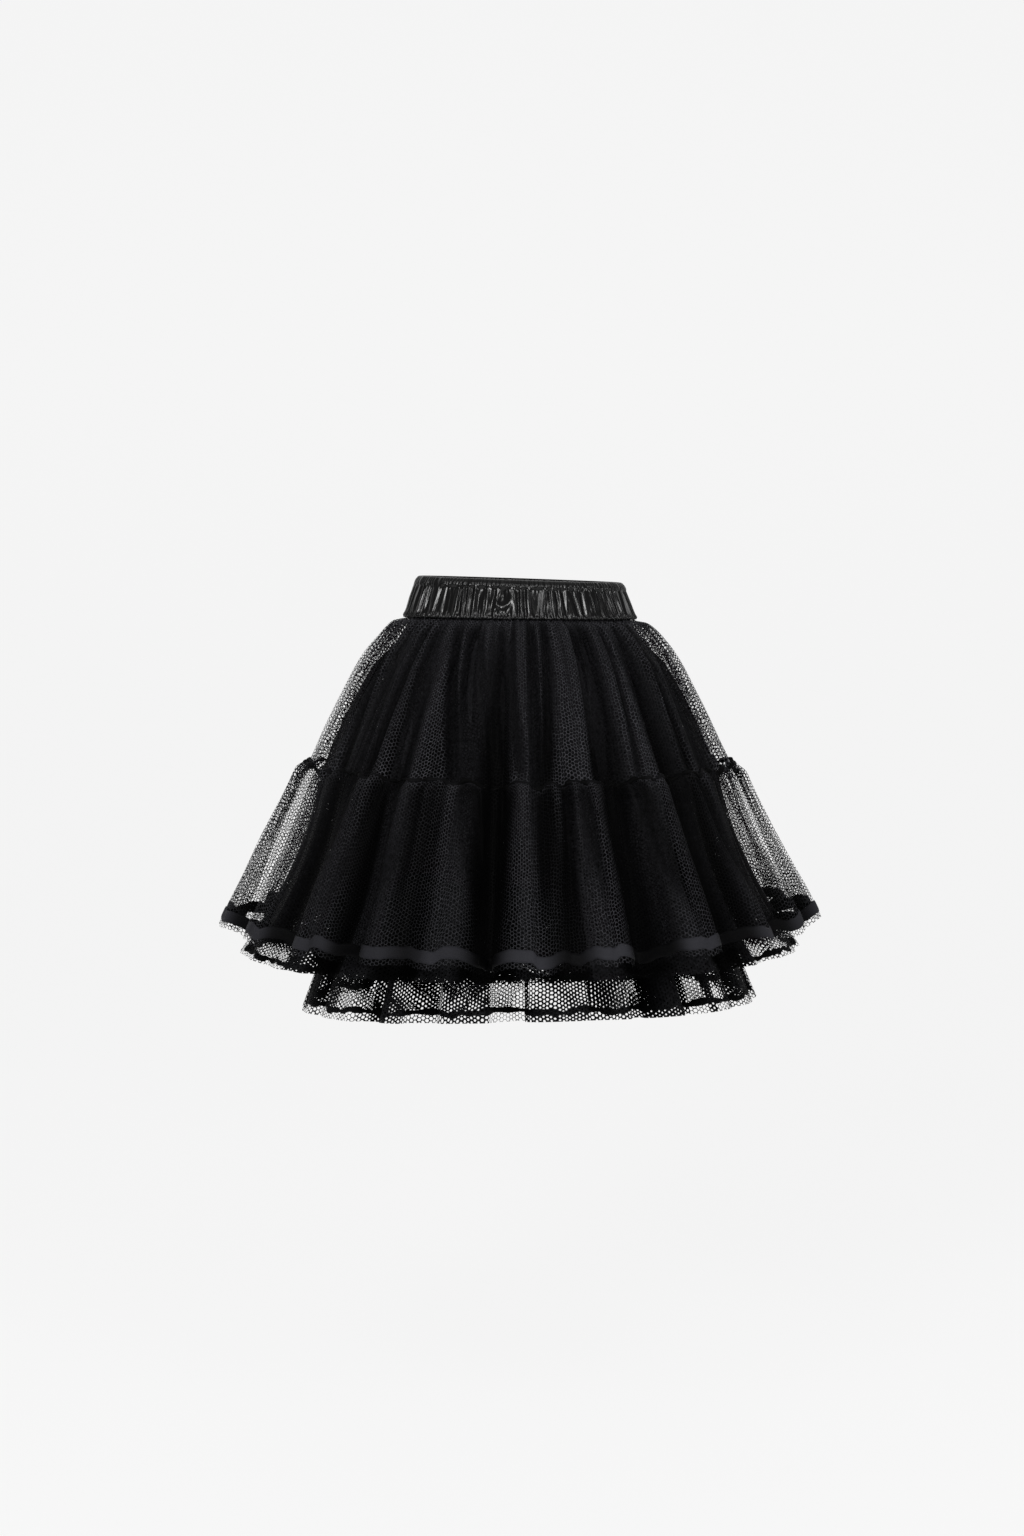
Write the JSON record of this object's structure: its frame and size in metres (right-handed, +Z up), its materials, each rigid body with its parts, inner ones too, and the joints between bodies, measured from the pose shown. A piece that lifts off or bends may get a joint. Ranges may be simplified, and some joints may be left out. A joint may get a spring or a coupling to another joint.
{
  "type": "tulle skirt",
  "caption": "Short full black tulle skirt as worn: gathered satin elastic waistband, tiered outer net with a ribbon hem, and longer net underlayers; waist and hem open.",
  "frame": {"origin": "middle of the waist opening, level with the middle of the waistband's top edge", "axes": "+Z up out of the waist, front of the skirt towards -Y, +X to the right seen from the front"},
  "size_m": [0.6962, 0.6197, 0.5129],
  "materials": {
    "satin": "black satin with soft vertical highlights on its gathers",
    "outer_net": "fine black tulle, see-through in one layer",
    "ribbon": "matt black ribbon",
    "under_net": "stiff black hexagonal net, see-through in one layer"
  },
  "bodies": {
    "root": {"waistband": "satin", "outer_upper_tier": "outer_net", "outer_lower_tier": "outer_net", "hem_ribbon": "ribbon", "middle_layer": "under_net", "inner_layer": "under_net"}
  },
  "joints": []
}
